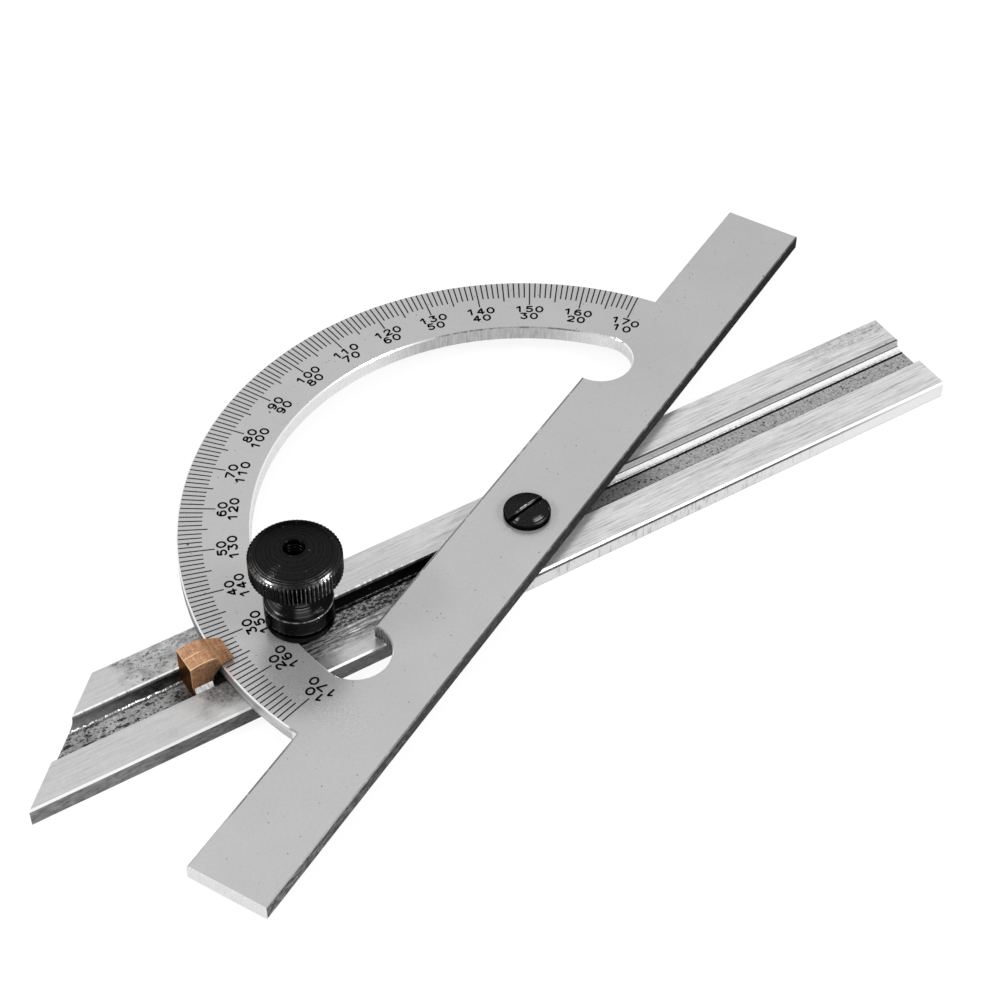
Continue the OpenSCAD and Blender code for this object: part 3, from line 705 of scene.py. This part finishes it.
# The scale: its first and last degree, and the sizes of its marks and numbers in millimetres
FIRST_DEGREE, LAST_DEGREE = 10, 170
ENGRAVED_LOW, ENGRAVED_HIGH = PLATE_TOP - 0.03, PLATE_TOP + 0.006
MARK_OUTER = ARC_R - 0.2
MARK_INNER = {10: 35.72, 5: 36.44, 1: 37.1}
MARK_HALF = 0.085
OUTER_FOOT, INNER_FOOT = 34.48, 33.21
DIGIT_HEIGHT, DIGIT_WIDTH, DIGIT_HALF = 0.96, 0.98, 0.122
CORNER_NEAR = DIGIT_HALF * 0.7
DIGIT_PLACES = {2: (-0.66, 0.57), 3: (-1.17, 0.0, 1.23)}

# The groove's burr: its step and depth, then each stretch's start, end, coarseness from 0 to 1, and seed
BURR_STEP, BURR_SUNK = 0.09, 0.03
BURRS = {"fore": (44.0, 57.6, 1.0, 3), "middle": (5.0, 40.8, 0.4, 4), "aft": (-56.1, -5.0, 0.25, 5)}


def gather(parts):
    """Joins meshes: points one after another, and face numbers raised by the points before them."""
    counts = np.cumsum([0] + [len(verts) for verts, _ in parts])
    verts = np.concatenate([verts for verts, _ in parts])
    faces = np.concatenate([faces + shift for (_, faces), shift in zip(parts, counts)])
    return verts, faces


def scale_marks():
    """The 161 lines of the scale: thin boxes between two radii, one at each degree from 10 to 170.

    The line of degree d lies at the row angle reading - d. Every tenth line is the longest and
    every fifth is longer than the rest.
    """
    degrees = np.arange(FIRST_DEGREE, LAST_DEGREE + 1)
    count = len(degrees)
    short = np.where(degrees % 5 == 0, MARK_INNER[5], MARK_INNER[1])
    inner = np.where(degrees % 10 == 0, MARK_INNER[10], short)
    outer = np.full(count, MARK_OUTER)
    turn = np.radians(READING - degrees)
    radii = np.stack([inner, inner, outer, outer], 1)
    sides = np.tile([-MARK_HALF, MARK_HALF, MARK_HALF, -MARK_HALF], (count, 1))
    x = radii * np.cos(turn)[:, None] - sides * np.sin(turn)[:, None]
    y = radii * np.sin(turn)[:, None] + sides * np.cos(turn)[:, None]
    corners = np.stack([x, y], 2)
    top = np.concatenate([corners, np.full((count, 4, 1), ENGRAVED_HIGH)], 2)
    low = np.concatenate([corners, np.full((count, 4, 1), ENGRAVED_LOW)], 2)
    verts = np.concatenate([top, low], 1).reshape(-1, 3)
    box = np.array([[3, 2, 1, 0], [4, 5, 6, 7], [0, 1, 5, 4], [1, 2, 6, 5], [2, 3, 7, 6], [3, 0, 4, 7]])
    faces = (box[None] + 8 * np.arange(count)[:, None, None]).reshape(-1, 4)
    return verts, faces


def number(text, degree, foot):
    """One number of the scale, its digits standing on the radius foot with their tops outwards.

    A digit's own point (x, y) goes to the radius foot + y * height, x * width plus the digit's
    offset along the arc; the arc is short enough to be taken as straight.
    """
    turn = math.radians(READING - degree)
    out = np.array([math.cos(turn), math.sin(turn)])
    along = np.array([math.sin(turn), -math.cos(turn)])
    parts = []
    for digit, offset in zip(text, DIGIT_PLACES[len(text)]):
        lean = offset / foot
        rise = out * math.cos(lean) + along * math.sin(lean)
        run = along * math.cos(lean) - out * math.sin(lean)
        for closed, points in DIGITS[digit]:
            points = np.asarray(points, float)
            place = rise * foot + points[:, 1:] * DIGIT_HEIGHT * rise + points[:, :1] * DIGIT_WIDTH * run
            if not closed:
                place = cornered(place, CORNER_NEAR)
            parts.append(ribbon(place, DIGIT_HALF, ENGRAVED_LOW, ENGRAVED_HIGH, closed))
    return parts


def scale_numbers(inner_row):
    """The numbers of one row, 10 to 170: the outer row counts up and the inner row counts down."""
    parts = []
    for degree in range(FIRST_DEGREE, LAST_DEGREE + 1, 10):
        text = str(180 - degree if inner_row else degree)
        parts += number(text, degree, INNER_FOOT if inner_row else OUTER_FOOT)
    return gather(parts)


def ridge_faces(count):
    """The faces of a three-cornered ridge with that many sections, its points listed corner by corner.

    Corner a of section i is the point a * count + i. Each side joins two corners of a section to
    the same two of the next section, and a triangle closes each end.
    """
    i = np.arange(count - 1)
    sides = [np.stack([a * count + i, a * count + i + 1, b * count + i + 1, b * count + i], 1)
             for a, b in ((0, 1), (1, 2), (2, 0))]
    last = count - 1
    ends = [[2 * count, count, 0], [last, count + last, 2 * count + last]]
    return np.concatenate(sides).tolist() + ends


def groove_burr(start, end, coarse, seed):
    """A torn ridge along the groove's floor.

    Its section is a triangle whose foot is 0.12 mm wide, and wider where the ridge is coarse.
    The foot's middle and the ridge's height and lean wander from point to point by smoothed
    random steps, times the coarseness. Its faces are the ridge's, turned to look outwards.
    """
    random = np.random.default_rng(seed)
    x = np.arange(start, end, BURR_STEP)
    smooth = np.convolve(random.normal(size=len(x) + 8), np.ones(5) / 5, "same")[4:-4]
    fine = np.convolve(random.normal(size=len(x) + 8), np.ones(2) / 2, "same")[4:-4]
    middle = BURR_AT + coarse * (smooth * 0.1 + fine * 0.06)
    height = 0.075 + coarse * (0.07 + np.clip(fine * 0.05, -0.06, 0.08))
    half = 0.06 + coarse * 0.08
    lean = coarse * fine * 0.03
    low = np.full(len(x), GROOVE_FLOOR - BURR_SUNK)
    corners = [np.stack([x, middle - half, low], 1), np.stack([x, middle + half, low], 1),
               np.stack([x, middle + lean, GROOVE_FLOOR + height], 1)]
    return np.concatenate(corners), [face[::-1] for face in ridge_faces(len(x))]


def bore_thread(start, end, pitch=0.45, root=1.13, crest=0.99, steps=48):
    """The thread in the nut's bore: a three-cornered ridge carried along a helix.

    At the turn t the ridge's corners stand at the radii root, crest and root, and at the
    heights start + pitch * t less, plus nothing and plus a third of the pitch.
    """
    turns = (end - start) / pitch
    t = np.linspace(0, turns, int(turns * steps))
    fade = np.clip(np.minimum(t, turns - t) * 3, 0.05, 1)
    radii = np.stack([np.full(len(t), root), root + (crest - root) * fade, np.full(len(t), root)])
    rise = np.array([-pitch / 3, 0, pitch / 3])[:, None] * fade + start + pitch * t
    angle = 2 * math.pi * t
    x = STUD_AT + radii * np.cos(angle)
    y = radii * np.sin(angle)
    return np.stack([x, y, rise], 2).reshape(-1, 3), ridge_faces(len(t))


# The object

finishes = {
    "protractor_plate": plate_steel(),
    "grooved_arm": arm_steel(),
    "pivot_key": inner_steel(),
    "pivot_bush": inner_steel(),
    "pivot_screw": screw_black(),
    "clamp_stud": plain_black("stud_black_oxide", STUD_AT),
    "clamp_jaw": plain_black("jaw_black_oxide", STUD_AT),
    "clamp_nut": nut_black(),
    "pointer": pointer_copper(),
    "pointer_solder": bright_solder(),
}
for name, material in finishes.items():
    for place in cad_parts[name].material_slots:
        place.material = material

marks_ink = engraving_black("mark_ink", 0.03)
number_ink = engraving_black("number_ink", 0.004)
piece("scale_marks", *scale_marks(), marks_ink, "plate", "black_steel")
piece("scale_numbers_outer", *scale_numbers(False), number_ink, "plate", "black_steel")
piece("scale_numbers_inner", *scale_numbers(True), number_ink, "plate", "black_steel")
burr_finish = burr_steel()
for name, run in BURRS.items():
    piece("groove_burr_" + name, *groove_burr(*run), burr_finish, "arm", "arm_steel")
piece("nut_thread", *bore_thread(NUT_TOP - 2.0, NUT_TOP - 0.35), finishes["clamp_nut"], "nut", "black_steel")


# Floor, light and camera

FLOOR_PAINT, FLOOR_LIGHT, WORLD_LIGHT = 0.22, 0.87, 0.55
SIDE_LAMP, BACK_LAMP = ((0.16, 0.035), 0.6), ((0.05, 0.03), 0.05)
SENSOR_WIDTH, FOCAL_LENGTH, NEAREST = 36.0, 83.116, 0.01
CAMERA_PLACE = (0.0990784, 0.1507914, 0.1979224)
CAMERA_TURNS = (43.34633, -0.24985, 147.94278)


def white_floor():
    """Plain light for the camera and for gloss, plus a diffuse share that holds the shadow."""
    material = bpy.data.materials.new("white_floor")
    material.use_nodes = True
    floor = Tree(material.node_tree)
    floor.tree.nodes.clear()
    paint = floor.node("BsdfDiffuse", {}, {"Color": (FLOOR_PAINT,) * 3 + (1.0,)})
    light = floor.node("Emission", {}, {"Strength": floor.seen() * FLOOR_LIGHT})
    both = floor.node("AddShader", {}, {0: paint, 1: light})
    floor.node("OutputMaterial", {}, {"Surface": both})
    return material


def white_world():
    """White for the camera and for gloss, and plain grey for the light that falls on the object."""
    world = bpy.data.worlds.new("white_world")
    world.use_nodes = True
    bpy.context.scene.world = world
    sky = Tree(world.node_tree)
    sky.tree.nodes.clear()
    strength = WORLD_LIGHT + sky.seen() * (1 - WORLD_LIGHT)
    shell = sky.node("Background", {}, {"Color": (1.0, 1.0, 1.0, 1.0), "Strength": strength})
    sky.node("OutputWorld", {}, {"Surface": shell})


def softbox(name, azimuth, height, size, power, distance=0.45):
    """A soft lamp, wide by high, that points at the object from an azimuth and an angle above the floor."""
    lamp = bpy.data.lights.new(name, "AREA")
    lamp.shape = "RECTANGLE"
    lamp.size, lamp.size_y = size
    lamp.energy = power
    obj = bpy.data.objects.new(name, lamp)
    turn, rise = math.radians(azimuth), math.radians(height)
    level = distance * math.cos(rise)
    obj.location = (level * math.cos(turn), level * math.sin(turn), distance * math.sin(rise))
    obj.rotation_euler = Euler((math.pi / 2 - rise, 0, turn + math.pi / 2))
    bpy.context.scene.collection.objects.link(obj)


bpy.ops.mesh.primitive_plane_add(size=4.0, location=(0, 0, 0))
floor = bpy.context.object
floor.name = "floor"
floor.data.materials.append(white_floor())
white_world()
softbox("side_left", -11.5, 40.7, *SIDE_LAMP)
softbox("side_right", 130, 42, *SIDE_LAMP)
softbox("back_left", -44, 61, *BACK_LAMP)
softbox("back_right", 164, 60, *BACK_LAMP)

camera = bpy.data.objects.new("camera", bpy.data.cameras.new("camera"))
camera.data.sensor_width = SENSOR_WIDTH
camera.data.lens = FOCAL_LENGTH
camera.data.clip_start = NEAREST
camera.location = CAMERA_PLACE
camera.rotation_euler = Euler([math.radians(turn) for turn in CAMERA_TURNS])
bpy.context.scene.collection.objects.link(camera)
bpy.context.scene.camera = camera
bpy.context.scene.view_settings.view_transform = "Standard"
